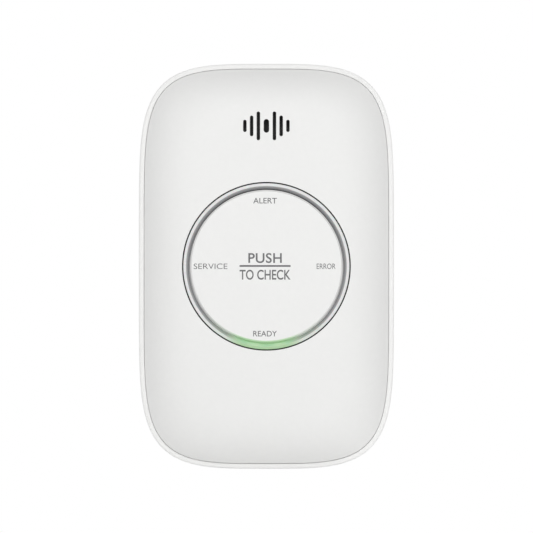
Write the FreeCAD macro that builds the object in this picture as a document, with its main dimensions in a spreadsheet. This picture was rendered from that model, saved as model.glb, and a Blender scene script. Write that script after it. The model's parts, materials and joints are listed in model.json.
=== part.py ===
import FreeCAD, Part
import math
import os
import Sketcher
from FreeCAD import Placement, Rotation, Vector

# Wall-mounted carbon monoxide alarm, battery powered, on a slide-on wall bracket.
# Frame: +Z up, the front faces -Y, the wall is the plane Y = 0.
# "Level" below means the distance from the wall, measured towards the front.
# The origin is the middle of the case outline on the wall plane. Millimetres.

SIZES = [
    # outline and case
    ("case_width", 75.6),
    ("case_height", 120.0),
    ("front_room", 14.4),
    ("side_exponent", 3.78),
    ("end_exponent", 5.78),
    ("rim_drop", 9.0),
    ("rim_width", 1.5),
    ("rim_rounding", 0.5),
    ("ledge_depth", 2.0),
    ("back_gap", 0.6),
    ("back_taper", 1.2),
    ("back_rounding", 2.5),
    ("back_wall", 2.2),
    ("rear_wall", 2.0),
    # front cover
    ("cover_gap", 0.1),
    ("crown_height", 8.6),
    ("crown_reach", 18.0),
    ("cover_wall", 2.0),
    ("cover_screw_x", 19.0),
    ("cover_screw_margin", 8.0),
    ("cover_boss_radius", 2.6),
    ("cover_boss_length", 5.7),
    ("cover_boss_gap", 0.1),
    ("cover_post_wall", 1.6),
    # sound slots
    ("slot_margin", 18.4),
    ("slot_width", 1.0),
    ("slot_first", 2.38),
    ("slot_pitch", 2.0),
    ("slot_tall", 8.5),
    ("slot_medium", 6.1),
    ("slot_short", 3.6),
    ("slot_middle_width", 1.57),
    ("slot_middle_height", 4.0),
    # air vents
    ("vent_width", 1.6),
    ("vent_length", 10.0),
    ("vent_depth", 12.0),
    ("side_vent_level", 8.0),
    ("side_vent_first", -4.0),
    ("side_vent_pitch", 5.0),
    ("bottom_vent_level", 9.0),
    ("bottom_vent_pitch", 4.0),
    # test button
    ("button_radius", 22.65),
    ("button_drop", 0.1),
    ("button_rounding", 0.6),
    ("button_face", 1.8),
    ("button_skirt", 4.7),
    ("button_skirt_wall", 1.4),
    ("button_travel", 0.5),
    ("post_radius", 2.5),
    ("post_gap", 0.15),
    ("post_hole_gap", 0.4),
    ("post_rib_thick", 1.2),
    ("post_rib_set_in", 3.0),
    ("post_rib_play", 0.6),
    ("catch_set_in", 6.65),
    ("catch_width", 5.0),
    ("catch_thick", 1.4),
    ("catch_barb", 1.0),
    ("catch_gap", 0.4),
    ("catch_reach", 1.7),
    ("catch_play", 0.2),
    # light ring
    ("button_gap", 0.3),
    ("ring_slope_width", 0.8),
    ("ring_flat_width", 0.85),
    ("ring_gap", 0.4),
    ("ring_drop", 0.5),
    ("ring_slope", 0.6),
    ("ring_flange_lap", 1.6),
    ("ring_flange_drop", 4.7),
    ("ring_flange_thick", 1.0),
    ("ring_seat_gap", 0.1),
    ("collar_lap", 0.6),
    ("leg_width", 4.0),
    ("leg_thick", 1.6),
    ("leg_set_in", 0.05),
    ("leg_gap", 0.3),
    # ring carrier
    ("carrier_thick", 1.6),
    ("ear_radius", 3.2),
    ("ear_gap", 1.42),
    ("ear_boss_wall", 0.6),
    ("screw_hole_gap", 0.3),
    # return springs
    ("spring_set_in", 6.0),
    ("spring_radius", 2.0),
    ("spring_wire", 0.22),
    ("spring_seat_gap", 0.02),
    ("spigot_gap", 0.28),
    ("spigot_height", 1.0),
    # main board
    ("board_gap", 1.4),
    ("board_thick", 1.6),
    ("board_inset", 4.6),
    ("board_notch_gap", 0.8),
    ("board_screw_upper_x", 28.0),
    ("board_screw_upper_z", 30.0),
    ("board_screw_lower_x", 29.5),
    ("board_screw_lower_z", 11.0),
    ("board_boss_radius", 2.4),
    # lamps on the board
    ("led_length", 3.2),
    ("led_width", 2.6),
    ("led_base", 0.8),
    ("led_height", 1.4),
    ("led_lens_foot", 1.1),
    ("led_lens_tip", 0.8),
    ("led_gap", 0.4),
    # switch on the board
    ("switch_size", 6.0),
    ("switch_height", 3.5),
    ("switch_floor", 1.4),
    ("switch_foot_length", 1.4),
    ("switch_foot_width", 0.7),
    ("switch_foot_thick", 0.5),
    ("switch_foot_z", 2.25),
    ("plunger_radius", 1.7),
    ("plunger_clearance", 0.05),
    ("plunger_height", 1.0),
    ("plunger_play", 0.3),
    ("plunger_chamfer", 0.25),
    # controller chip
    ("chip_x", 11.5),
    ("chip_z", -10.5),
    ("chip_width", 5.4),
    ("chip_length", 9.0),
    ("chip_thick", 1.5),
    ("chip_lift", 0.1),
    ("lead_pitch", 1.27),
    ("lead_width", 0.42),
    ("lead_length", 1.4),
    ("lead_thick", 0.5),
    # boost coil and capacitors
    ("coil_x", -12.0),
    ("coil_z", 10.0),
    ("coil_radius", 4.0),
    ("coil_neck", 3.4),
    ("coil_flange", 1.0),
    ("coil_height", 4.4),
    ("can_foot_height", 0.9),
    ("can_foot_wall", 0.2),
    ("can_chamfer", 0.3),
    ("chip_part_height", 1.1),
    # sounder
    ("sounder_radius", 12.0),
    ("sounder_height", 7.0),
    ("sounder_wall", 1.0),
    ("sounder_floor", 1.0),
    ("sounder_lip", 3.5),
    ("sounder_lid_thick", 1.0),
    ("sounder_lid_hole", 3.2),
    ("sounder_ledge", 1.4),
    ("piezo_gap", 0.1),
    ("piezo_seat", 3.0),
    ("piezo_thick", 0.25),
    ("ceramic_set_in", 3.5),
    ("ceramic_thick", 0.2),
    ("piezo_pin_set_in", 2.3),
    ("piezo_pin_radius", 0.45),
    ("piezo_pin_gap", 0.35),
    ("gasket_wall", 1.2),
    ("gasket_thick", 0.8),
    ("mesh_gap", 0.6),
    ("mesh_thick", 0.2),
    # gas sensor
    ("sensor_margin", 18.0),
    ("sensor_radius", 9.5),
    ("sensor_height", 7.0),
    ("sensor_standoff", 0.5),
    ("sensor_chamfer", 0.6),
    ("sensor_cap_set_in", 1.6),
    ("sensor_cap_height", 1.3),
    ("sensor_cap_chamfer", 0.3),
    ("sensor_hole", 2.6),
    ("sensor_filter_thick", 0.5),
    ("sensor_pin_radius", 0.4),
    ("sensor_pin_gap", 0.1),
    ("sensor_pin_stub", 1.0),
    # two AA cells lying across
    ("cell_length", 50.5),
    ("cell_radius", 7.25),
    ("cell_gap", 1.5),
    ("cell_side_gap", 1.35),
    ("cell_door_gap", 0.4),
    ("nub_length", 1.0),
    ("nub_radius", 2.7),
    ("cell_base_thick", 0.2),
    ("cell_base_set_in", 1.0),
    # battery bay
    ("bay_foot_margin", 12.4),
    ("contact_room", 3.35),
    ("bay_wall", 1.4),
    ("tray_gap", 0.2),
    ("tray_thick", 1.2),
    ("tray_rib_x", 17.0),
    ("tray_rib_thick", 1.2),
    ("tray_rib_height", 1.6),
    ("tray_rib_length", 5.0),
    ("contact_thick", 0.4),
    ("contact_width", 12.0),
    ("contact_bump", 2.0),
    ("contact_tab_width", 3.0),
    ("contact_tab_start", 5.0),
    ("contact_tab_stub", 0.6),
    ("tab_side_gap", 0.1),
    ("tab_end_gap", 0.2),
    ("contact_coil_radius", 4.0),
    ("contact_wire", 0.3),
    # battery door
    ("door_gap", 0.3),
    ("door_thick", 1.5),
    ("door_level", 0.8),
    ("hinge_drop", 1.2),
    ("hinge_level", 1.75),
    ("hinge_knuckle_x", 9.0),
    ("hinge_knuckle_width", 5.0),
    ("hinge_barrel_radius", 0.95),
    ("hinge_pin_radius", 0.6),
    ("hinge_pin_reach", 1.0),
    ("hinge_clearance", 0.05),
    ("hinge_side_gap", 0.4),
    ("hinge_notch_depth", 2.5),
    ("hinge_notch_height", 3.2),
    ("hinge_arm_lap", 1.0),
    ("snap_width", 9.0),
    ("snap_leg_thick", 1.2),
    ("snap_leg_length", 3.2),
    ("snap_nose_level", 2.9),
    ("snap_nose_height", 1.0),
    ("snap_nose_depth", 1.4),
    ("snap_side_gap", 0.75),
    ("snap_window_level", 0.6),
    ("snap_window_height", 2.0),
    ("snap_window_share", 0.7),
    ("nail_slot_drop", 3.0),
    ("nail_slot_height", 1.6),
    ("nail_slot_depth", 0.6),
    ("door_stop_x", 20.0),
    ("door_stop_length", 4.0),
    ("door_stop_thick", 1.2),
    ("door_stop_gap", 0.1),
    ("door_stop_root", 0.4),
    ("foam_length", 40.0),
    ("foam_height", 4.0),
    ("foam_thick", 2.4),
    ("label_width", 44.0),
    ("label_height", 20.0),
    ("label_thick", 0.12),
    ("label_drop", 2.0),
    # wall bracket
    ("bracket_width", 54.0),
    ("bracket_thick", 2.4),
    ("bracket_corner", 4.0),
    ("bracket_top_margin", 14.0),
    ("bracket_foot_gap", 1.9),
    ("bracket_side_gap", 1.0),
    ("bracket_head_gap", 1.6),
    ("bracket_slot_x", 6.5),
    ("bracket_slot_width", 7.0),
    ("bracket_slot_height", 26.0),
    ("recess_level", 2.9),
    ("recess_floor", 2.0),
    ("recess_wall", 1.8),
    ("recess_foot_wall", 2.0),
    ("lift_travel", 5.5),
    ("hook_x", 17.0),
    ("hook_low_inset", 13.0),
    ("hook_high_inset", 10.0),
    ("hook_width", 6.0),
    ("hook_stem", 2.0),
    ("hook_lip", 4.5),
    ("hook_lip_thick", 1.2),
    ("hook_lip_gap", 0.3),
    ("hook_side_gap", 0.4),
    ("hook_end_gap", 0.3),
    ("wall_screw_spacing", 36.0),
    ("wall_screw_hole", 2.1),
    ("wall_screw_head", 4.1),
    # middle rib of the rear housing
    ("rib_thick", 1.4),
    ("rib_bay_gap", 1.0),
    ("rib_end_gap", 6.0),
    ("rib_board_gap", 0.1),
    # screws: head radius, head height, shank radius, length
    ("cover_screw_head", 2.6),
    ("cover_screw_head_height", 2.0),
    ("cover_screw_shank", 1.4),
    ("cover_screw_length", 12.6),
    ("cover_screw_floor", 3.3),
    ("carrier_screw_head", 2.0),
    ("carrier_screw_head_height", 1.4),
    ("carrier_screw_shank", 1.0),
    ("carrier_screw_length", 4.4),
    ("board_screw_head", 2.3),
    ("board_screw_head_height", 1.8),
    ("board_screw_shank", 0.95),
    ("board_screw_length", 9.0),
    ("screw_bore_gap", 0.05),
    ("screw_tip_gap", 0.5),
]

# capacitor cans on the board: x, z, radius, height
CANS = [(-10.5, -11, 3.1, 5.2), (-17.5, -16, 2.5, 4.6)]

# chip resistors and the like: x, z, width, height
SMALL_PARTS = [
    (6, 14, 2.0, 1.2), (10, 14, 2.0, 1.2), (14, 10, 1.2, 2.0), (17, 3, 2.9, 1.5),
    (19, -4, 1.2, 2.0), (-4, -13.5, 2.0, 1.2), (-5, 15.5, 2.9, 1.6), (3, -17, 2.0, 1.2),
    (-20, 4, 1.2, 2.0), (13, 27, 2.0, 1.2), (-16, 33, 2.9, 1.6), (17, 35, 3.9, 4.9),
    (-20, -33, 2.0, 1.2), (18, -36, 3.9, 4.9), (-17, -44, 2.0, 1.2),
]

# gas sensor pins about the sensor middle: x, z
SENSOR_PINS = [(-6.0, 3.5), (6.0, 3.5), (0.0, -6.5)]

# sizes that follow from the ones above
FOLLOWING = [
    ("ring_bore_radius", "button_radius + button_gap"),
    ("ring_flat_radius", "ring_bore_radius + ring_slope_width"),
    ("ring_outer_radius", "ring_flat_radius + ring_flat_width"),
    ("ring_opening_radius", "ring_outer_radius + ring_gap"),
    ("ring_flange_radius", "ring_opening_radius + ring_flange_lap"),
    ("collar_radius", "ring_flange_radius + collar_lap"),
    ("ear_offset", "(collar_radius + ear_radius + ear_gap) * sqrt(0.5)"),
    ("catch_radius", "button_radius - catch_set_in"),
    ("spring_orbit", "catch_radius - spring_set_in"),
    ("post_rib_half", "spring_orbit - post_rib_set_in"),
    ("cell_pitch", "2 * cell_radius + cell_gap"),
    ("bay_half_height", "cell_pitch / 2 + cell_radius + cell_side_gap"),
    ("bay_half_width", "cell_length / 2 + contact_room"),
    ("cell_level", "door_level + door_thick + cell_door_gap + cell_radius"),
    ("tray_level", "cell_level + cell_radius + tray_gap"),
    ("board_level", "tray_level + tray_thick + board_gap"),
    ("board_front", "board_level + board_thick"),
    ("case_depth", "board_front + front_room"),
    ("rim_level", "case_depth - rim_drop"),
    ("ledge_level", "rim_level - ledge_depth"),
    ("cover_edge_level", "case_depth - crown_height"),
    ("cover_boss_level", "ledge_level - cover_boss_length"),
    ("cover_screw_seat", "cover_boss_level - cover_screw_floor"),
    ("piezo_radius", "sounder_radius - sounder_wall - piezo_gap"),
    ("sounder_mouth_radius", "sounder_radius - sounder_lip"),
]

OUTLINE_POINTS = 96
CROWN_SECTIONS = 9
CROWN_POWER = 3
SECTION_SPREAD = 1.3
VENT_ROWS = 5
CHIP_ROWS = 7
BUTTON_COIL_HALVES = 9
CELL_COIL_HALVES = 5
PAST = 1.0
ROOT = 0.5
DRILL = 5.0
BOSS_RUN = 20.0
NEAR = 1e-3
EASE = 0.01
SPRING_TURNS = (45, 165, 285)

# shares of a screw's own head and shank
HEAD_TOP = 0.72
HEAD_SIDE = 0.45
TIP = 0.3
RECESS_DEPTH = 0.55
RECESS_WIDTH = 0.24
RECESS_LENGTH = 1.1

doc = FreeCAD.newDocument("carbon_monoxide_alarm")
sheet = doc.addObject("Spreadsheet::Sheet", "Sizes")
for row, (alias, rule) in enumerate(SIZES + FOLLOWING, 1):
    sheet.set(f"A{row}", alias)
    sheet.set(f"B{row}", f"={rule}")
    sheet.setAlias(f"B{row}", alias)
doc.recompute()


class Amount:
    """A length together with the sheet formula that gives it."""

    def __init__(self, text, value):
        self.text = text
        self.value = value

    def __add__(self, other):
        other = amount(other)
        return Amount(f"({self.text} + {other.text})", self.value + other.value)

    def __sub__(self, other):
        other = amount(other)
        return Amount(f"({self.text} - {other.text})", self.value - other.value)

    def __mul__(self, other):
        other = amount(other)
        return Amount(f"({self.text} * {other.text})", self.value * other.value)

    def __truediv__(self, other):
        other = amount(other)
        return Amount(f"({self.text} / {other.text})", self.value / other.value)

    def __neg__(self):
        return self * -1

    def __rsub__(self, other):
        return amount(other) - self

    __radd__ = __add__
    __rmul__ = __mul__


def amount(thing):
    if isinstance(thing, Amount):
        return thing
    return Amount(f"({float(thing)!r})", float(thing))


class Sheet:
    """The sizes by name, read back from the sheet."""


S = Sheet()
for alias, rule in SIZES + FOLLOWING:
    setattr(S, alias, Amount(f"Sizes.{alias}", float(sheet.get(alias))))

FORWARD = Rotation(Vector(1, 0, 0), 90)
ALONG_X = Rotation(Vector(0, 1, 0), 90)


def bind(thing, path, length):
    thing.setExpression(path, amount(length).text)


def place(thing, x, level, z, turn=None):
    if turn is not None:
        thing.Placement = Placement(Vector(0, 0, 0), turn)
    bind(thing, "Placement.Base.x", x)
    bind(thing, "Placement.Base.y", -amount(level))
    bind(thing, "Placement.Base.z", z)


# ---- plain shapes, all given by middle x, nearest level, middle z ----

def slab(name, x, level, z, wide, thick, tall):
    x, level, z, wide, thick, tall = map(amount, (x, level, z, wide, thick, tall))
    block = doc.addObject("Part::Box", name)
    bind(block, "Length", wide)
    bind(block, "Width", thick)
    bind(block, "Height", tall)
    place(block, x - wide / 2, level + thick, z - tall / 2)
    return block


def disc(name, x, level, z, radius, thick):
    drum = doc.addObject("Part::Cylinder", name)
    bind(drum, "Radius", radius)
    bind(drum, "Height", thick)
    place(drum, x, level, z, FORWARD)
    return drum


def cone(name, x, level, z, near, far, thick):
    taper = doc.addObject("Part::Cone", name)
    bind(taper, "Radius1", near)
    bind(taper, "Radius2", far)
    bind(taper, "Height", thick)
    place(taper, x, level, z, FORWARD)
    return taper


def rod(name, start, level, z, radius, length):
    bar = doc.addObject("Part::Cylinder", name)
    bind(bar, "Radius", radius)
    bind(bar, "Height", length)
    place(bar, start, level, z, ALONG_X)
    return bar


def fuse(name, *pieces):
    joined = doc.addObject("Part::MultiFuse", name)
    joined.Shapes = list(pieces)
    joined.Refine = True
    return joined


def cut(name, base, *tools):
    tool = tools[0] if len(tools) == 1 else fuse(f"{name}_cuts", *tools)
    result = doc.addObject("Part::Cut", name)
    result.Base = base
    result.Tool = tool
    result.Refine = True
    return result


def group(name, *pieces):
    bundle = doc.addObject("Part::Compound", name)
    bundle.Links = list(pieces)
    return bundle


def tube(name, x, level, z, outer, inner, thick):
    shell = disc(f"{name}_outside", x, level, z, outer, thick)
    bore = disc(f"{name}_bore", x, amount(level) - PAST, z, inner, amount(thick) + 2 * PAST)
    return cut(name, shell, bore)


def rounded_slab(name, x, level, z, wide, thick, tall, corner):
    x, z, wide, tall = map(amount, (x, z, wide, tall))
    pieces = [
        slab(f"{name}_across", x, level, z, wide, thick, tall - 2 * amount(corner)),
        slab(f"{name}_upright", x, level, z, wide - 2 * amount(corner), thick, tall),
    ]
    for side in (-1, 1):
        for end in (-1, 1):
            px = x + side * (wide / 2 - corner)
            pz = z + end * (tall / 2 - corner)
            pieces.append(disc(f"{name}_corner", px, level, pz, corner, thick))
    return fuse(name, *pieces)


def upright_slot(name, x, level, z, wide, thick, tall):
    x, z, wide, tall = map(amount, (x, z, wide, tall))
    middle = slab(f"{name}_middle", x, level, z, wide, thick, tall - wide)
    upper = disc(f"{name}_upper", x, level, z + (tall - wide) / 2, wide / 2, thick)
    lower = disc(f"{name}_lower", x, level, z - (tall - wide) / 2, wide / 2, thick)
    return fuse(name, middle, upper, lower)


# ---- bodies drawn from sketches ----

def plane_of(body, role):
    for feature in body.Origin.OriginFeatures:
        if feature.Role == role:
            return feature
    raise ValueError(role)


def polygon(sketch, points):
    spots = [Vector(amount(a).value, amount(b).value, 0) for a, b in points]
    count = len(points)
    for index in range(count):
        sketch.addGeometry(Part.LineSegment(spots[index], spots[(index + 1) % count]), False)
    for index in range(count):
        sketch.addConstraint(Sketcher.Constraint("Coincident", index, 2, (index + 1) % count, 1))
    for index, (across, up) in enumerate(points):
        for kind, length in (("DistanceX", across), ("DistanceY", up)):
            rule = Sketcher.Constraint(kind, -1, 1, index, 1, amount(length).value)
            number = sketch.addConstraint(rule)
            sketch.setExpression(f"Constraints[{number}]", amount(length).text)


def turned(name, x, level, z, points):
    """A turned piece: (radius, distance towards the front) corners about its own axis."""
    body = doc.addObject("PartDesign::Body", name)
    sketch = body.newObject("Sketcher::SketchObject", f"{name}_profile")
    sketch.AttachmentSupport = [(plane_of(body, "XZ_Plane"), "")]
    sketch.MapMode = "FlatFace"
    polygon(sketch, points)
    spin = body.newObject("PartDesign::Revolution", f"{name}_turning")
    spin.Profile = sketch
    spin.ReferenceAxis = (sketch, ["V_Axis"])
    spin.Angle = 360
    body.Tip = spin
    place(body, x, level, z, FORWARD)
    return body


def soften(body, size, radius, height):
    """Round the circular edge of a turned body found at a radius and height."""
    doc.recompute()
    feature = body.Tip
    names = []
    for number, edge in enumerate(feature.Shape.Edges, 1):
        curve = edge.Curve
        if not isinstance(curve, Part.Circle):
            continue
        same_radius = abs(curve.Radius - amount(radius).value) < NEAR
        if same_radius and abs(curve.Center.z - amount(height).value) < NEAR:
            names.append(f"Edge{number}")
    rounding = body.newObject("PartDesign::Fillet", f"{body.Name}_rounding")
    rounding.Base = (feature, names)
    bind(rounding, "Radius", size)
    body.Tip = rounding
    return body


def coil(name, x, level, z, radius, wire, height, halves, turn):
    """A round-wire coil of tilted half rings: each one ends where the next begins."""
    radius, height = amount(radius), amount(height)
    rise = height / halves
    half_span = Amount(
        f"sqrt({radius.text}^2 + ({rise.text} / 2)^2)",
        math.hypot(radius.value, rise.value / 2),
    )
    tilt = Amount(
        f"atan({rise.text} / (2 * {radius.text}))",
        math.degrees(math.atan(rise.value / (2 * radius.value))),
    )
    rings = []
    for number in range(halves):
        ring = doc.addObject("Part::Torus", f"{name}_half_ring")
        bind(ring, "Radius1", half_span)
        bind(ring, "Radius2", wire)
        ring.Angle3 = 180
        lean = Rotation(Vector(0, 1, 0), tilt.value)
        if number % 2:
            lean = Rotation(Vector(0, 0, 1), 180) * lean
        ring.Placement = Placement(Vector(0, 0, 0), lean)
        bind(ring, "Placement.Base.z", rise * (number + 0.5))
        rings.append(ring)
    spring = fuse(name, *rings)
    place(spring, x, level, z, turn)
    return spring


def screw(name, x, level, z, head, head_height, shank, length, way):
    """A cross-head screw: level is the seat under the head, way +1 drives forward."""
    head, head_height, shank, length = map(amount, (head, head_height, shank, length))
    points = [
        (0, -way * head_height),
        (head * HEAD_TOP, -way * head_height),
        (head, -way * head_height * HEAD_SIDE),
        (head, 0),
        (shank, 0),
        (shank, way * (length - shank)),
        (shank * TIP, way * length),
        (0, way * length),
    ]
    blank = turned(f"{name}_blank", x, level, z, points)
    depth = head_height * RECESS_DEPTH
    long = head * RECESS_LENGTH
    narrow = head * RECESS_WIDTH
    outer = amount(level) - way * head_height
    start = outer - PAST if way > 0 else outer - depth
    across = slab(f"{name}_recess", x, start, z, long, depth + PAST, narrow)
    upright = slab(f"{name}_recess", x, start, z, narrow, depth + PAST, long)
    return cut(name, blank, across, upright)


# ---- the case outline: |x/a|^p + |z/b|^q = 1, moved in by a distance ----

def outline(inset, level, shrink=0.0):
    half_width = S.case_width.value / 2
    half_height = S.case_height.value / 2
    side = S.side_exponent.value
    end = S.end_exponent.value
    points = []
    for step in range(OUTLINE_POINTS):
        turn = 2 * math.pi * step / OUTLINE_POINTS
        across = math.cos(turn)
        up = math.sin(turn)
        low, high = 0.5, 2.0
        while high - low > 1e-12:
            middle = (low + high) / 2
            inside = (middle * abs(across)) ** side + (middle * abs(up)) ** end < 1
            low, high = (middle, high) if inside else (low, middle)
        x = low * across
        z = low * up
        slope_x = math.copysign(side / half_width * abs(x) ** (side - 1), x)
        slope_z = math.copysign(end / half_height * abs(z) ** (end - 1), z)
        steep = math.hypot(slope_x, slope_z)
        px = half_width * x - inset * slope_x / steep
        pz = half_height * z - inset * slope_z / steep
        px *= 1 - shrink / (half_width - inset)
        pz *= 1 - shrink / (half_height - inset)
        points.append(Vector(px, -level, pz))
    curve = Part.BSplineCurve()
    curve.interpolate(Points=points, PeriodicFlag=True)
    return Part.Wire([curve.toShape()])


def outline_block(inset, level, far_level):
    return Part.Face(outline(inset, level)).extrude(Vector(0, level - far_level, 0))


def level_edges(solid, level):
    found = []
    for edge in solid.Edges:
        box = edge.BoundBox
        if abs(box.YMin + level) < NEAR and abs(box.YMax + level) < NEAR:
            found.append(edge)
    return found


def crown(drop):
    """Sections of the domed front face, moved inwards by a drop along its normal."""
    reach = S.crown_reach.value
    rise = S.crown_height.value
    edge_inset = S.rim_width.value + S.cover_gap.value
    wires = []
    for step in range(CROWN_SECTIONS):
        part = 1 - (1 - step / (CROWN_SECTIONS - 1)) ** SECTION_SPREAD
        run = reach * part
        left = 1 - part
        height = rise * (1 - left ** CROWN_POWER)
        slope = math.atan(CROWN_POWER * rise / reach * left ** (CROWN_POWER - 1))
        shrink = run + drop * math.sin(slope)
        level = S.cover_edge_level.value + height - drop * math.cos(slope)
        wires.append(outline(edge_inset, level, shrink))
    return wires


def feature(name, shape):
    solid = doc.addObject("Part::Feature", name)
    solid.Shape = shape
    solid.Placement = Placement()
    return solid


def rear_inset(level):
    share = (S.rim_level.value - level) / (S.rim_level.value - S.back_gap.value)
    return S.back_taper.value * share


# common places
bay_z = S.bay_half_height + S.bay_foot_margin - S.case_height / 2
bay_top = bay_z + S.bay_half_height
bay_bottom = bay_z - S.bay_half_height
sound_z = S.case_height / 2 - S.slot_margin
sensor_z = -(S.case_height / 2 - S.sensor_margin)
screw_z = S.case_height / 2 - S.cover_screw_margin
flange_level = S.case_depth - S.ring_flange_drop - S.ring_flange_thick
carrier_level = flange_level - S.ring_seat_gap - S.carrier_thick
carrier_front = carrier_level + S.carrier_thick
recess_bottom = bay_top + S.recess_foot_wall
bracket_bottom = recess_bottom + S.lift_travel + S.bracket_foot_gap
bracket_top = S.case_height / 2 - S.bracket_top_margin
bracket_mid = (bracket_bottom + bracket_top) / 2
bracket_tall = bracket_top - bracket_bottom
hook_low = bracket_bottom + S.hook_low_inset
hook_high = bracket_top - S.hook_high_inset
lip_level = S.recess_level + S.recess_floor + S.hook_lip_gap
four_corners = [(side, end) for side in (-1, 1) for end in (-1, 1)]
board_screws = [
    (side * x, z)
    for side in (-1, 1)
    for x, z in (
        (S.board_screw_upper_x, S.board_screw_upper_z),
        (S.board_screw_lower_x, -S.board_screw_lower_z),
    )
]

# ---- wall bracket ----
plate = rounded_slab(
    "bracket_plate", 0, 0, bracket_mid,
    S.bracket_width, S.bracket_thick, bracket_tall, S.bracket_corner,
)
bracket_cuts = [
    upright_slot(
        "bracket_window", side * S.bracket_slot_x, -PAST, bracket_mid,
        S.bracket_slot_width, S.bracket_thick + 2 * PAST, S.bracket_slot_height,
    )
    for side in (-1, 1)
]
for side in (-1, 1):
    hole_x = side * S.wall_screw_spacing / 2
    bracket_cuts.append(
        disc(
            "bracket_hole", hole_x, -PAST, bracket_mid,
            S.wall_screw_hole, S.bracket_thick + 2 * PAST,
        )
    )
    sink = S.wall_screw_head - S.wall_screw_hole
    bracket_cuts.append(
        cone(
            "bracket_sink", hole_x, S.bracket_thick - sink, bracket_mid,
            S.wall_screw_hole, S.wall_screw_head + PAST, sink + PAST,
        )
    )
bracket_plate = cut("bracket_drilled", plate, *bracket_cuts)
bracket_pieces = [bracket_plate]
for side in (-1, 1):
    for top in (hook_low, hook_high):
        reach = lip_level + S.hook_lip_thick
        bracket_pieces.append(
            slab(
                "hook_stem", side * S.hook_x, ROOT, top - S.hook_stem / 2,
                S.hook_width, reach - ROOT, S.hook_stem,
            )
        )
        bracket_pieces.append(
            slab(
                "hook_lip", side * S.hook_x, lip_level, top + S.hook_lip / 2 - ROOT,
                S.hook_width, S.hook_lip_thick, S.hook_lip + 2 * ROOT,
            )
        )
wall_bracket = fuse("wall_bracket", *bracket_pieces)

# ---- rear housing ----
back = S.back_gap.value
rim = S.rim_level.value
outside = Part.makeLoft([outline(S.back_taper.value, back), outline(0, rim)], True, True)
outside = outside.makeFillet(S.back_rounding.value, level_edges(outside, back))
outside = outside.makeFillet(S.rim_rounding.value, level_edges(outside, rim))
floor = back + S.back_wall.value
ledge = S.ledge_level.value
wall = S.rear_wall.value
hollow = Part.makeLoft(
    [outline(rear_inset(floor) + wall, floor), outline(rear_inset(ledge) + wall, ledge + EASE)],
    True, True,
)
hollow = hollow.fuse(outline_block(S.rim_width.value, ledge, rim + PAST))
housing_outside = feature("housing_outside", outside)
housing_inside = feature("housing_inside", hollow)

bay_outer_width = 2 * (S.bay_half_width + S.bay_wall)
bay_outer_height = 2 * (S.bay_half_height + S.bay_wall)
recess_top = bracket_top + S.bracket_head_gap
recess_mid = (recess_bottom + recess_top) / 2
recess_tall = recess_top - recess_bottom
recess_width = S.bracket_width + 2 * S.bracket_side_gap
supports = [
    slab(
        "bay_box", 0, 0, bay_z,
        bay_outer_width, S.tray_level + S.tray_thick, bay_outer_height,
    ),
    rounded_slab(
        "recess_box", 0, 0, recess_mid, recess_width + 2 * S.recess_wall,
        S.recess_level + S.recess_floor, recess_tall + 2 * S.recess_wall,
        S.bracket_corner + S.recess_wall,
    ),
]
for side, end in four_corners:
    supports.append(
        disc(
            "cover_screw_boss", side * S.cover_screw_x, 0, end * screw_z,
            S.cover_boss_radius + S.cover_post_wall, S.cover_boss_level - S.cover_boss_gap,
        )
    )
for x, z in board_screws:
    supports.append(disc("board_boss", x, 0, z, S.board_boss_radius, S.board_level))
space = cut("housing_space", housing_inside, *supports)
shell = cut("housing_shell", housing_outside, space)

hinge_z = bay_bottom - S.hinge_drop
notch_width = S.hinge_knuckle_width + 2 * S.hinge_side_gap
pockets = [
    slab(
        "bay_room", 0, -PAST, bay_z,
        2 * S.bay_half_width, S.tray_level + PAST, 2 * S.bay_half_height,
    ),
    rounded_slab(
        "bracket_recess", 0, -PAST, recess_mid, recess_width,
        S.recess_level + PAST, recess_tall, S.bracket_corner,
    ),
    slab(
        "snap_window", 0, S.back_gap + S.back_wall + S.snap_window_level,
        bay_top + S.bay_wall / 2, S.snap_width + 2 * S.snap_side_gap,
        S.snap_window_height, S.bay_wall * S.snap_window_share,
    ),
]
slot_tall = S.hook_stem + S.lift_travel + 2 * S.hook_end_gap
for side in (-1, 1):
    for top in (hook_low, hook_high):
        pockets.append(
            slab(
                "hook_slot", side * S.hook_x, S.recess_level - PAST,
                top + S.hook_end_gap - slot_tall / 2, S.hook_width + 2 * S.hook_side_gap,
                S.recess_floor + 2 * PAST, slot_tall,
            )
        )
    pockets.append(
        slab(
            "hinge_notch", side * S.hinge_knuckle_x, -PAST, hinge_z,
            notch_width, S.hinge_level + S.hinge_notch_depth, S.hinge_notch_height,
        )
    )
    pockets.append(
        rod(
            "hinge_hole", side * S.hinge_knuckle_x - notch_width / 2 - S.hinge_pin_reach,
            S.hinge_level, hinge_z, S.hinge_pin_radius + S.hinge_clearance,
            notch_width + 2 * S.hinge_pin_reach,
        )
    )
    pockets.append(
        slab(
            "contact_slit", side * (S.bay_half_width - S.contact_thick / 2),
            S.tray_level - PAST, bay_z + side * S.cell_pitch / 2,
            S.contact_thick + 2 * S.tab_side_gap, S.tray_thick + 2 * PAST,
            S.contact_tab_width + 2 * S.tab_end_gap,
        )
    )
    for row in range(VENT_ROWS):
        pockets.append(
            slab(
                "side_vent", side * S.case_width / 2, S.side_vent_level,
                S.side_vent_first + S.side_vent_pitch * row,
                S.vent_depth, S.vent_length, S.vent_width,
            )
        )
for row in range(VENT_ROWS):
    pockets.append(
        slab(
            "bottom_vent", S.bottom_vent_pitch * (row - (VENT_ROWS - 1) / 2),
            S.bottom_vent_level, -S.case_height / 2, S.vent_width, S.vent_length, S.vent_depth,
        )
    )
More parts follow.
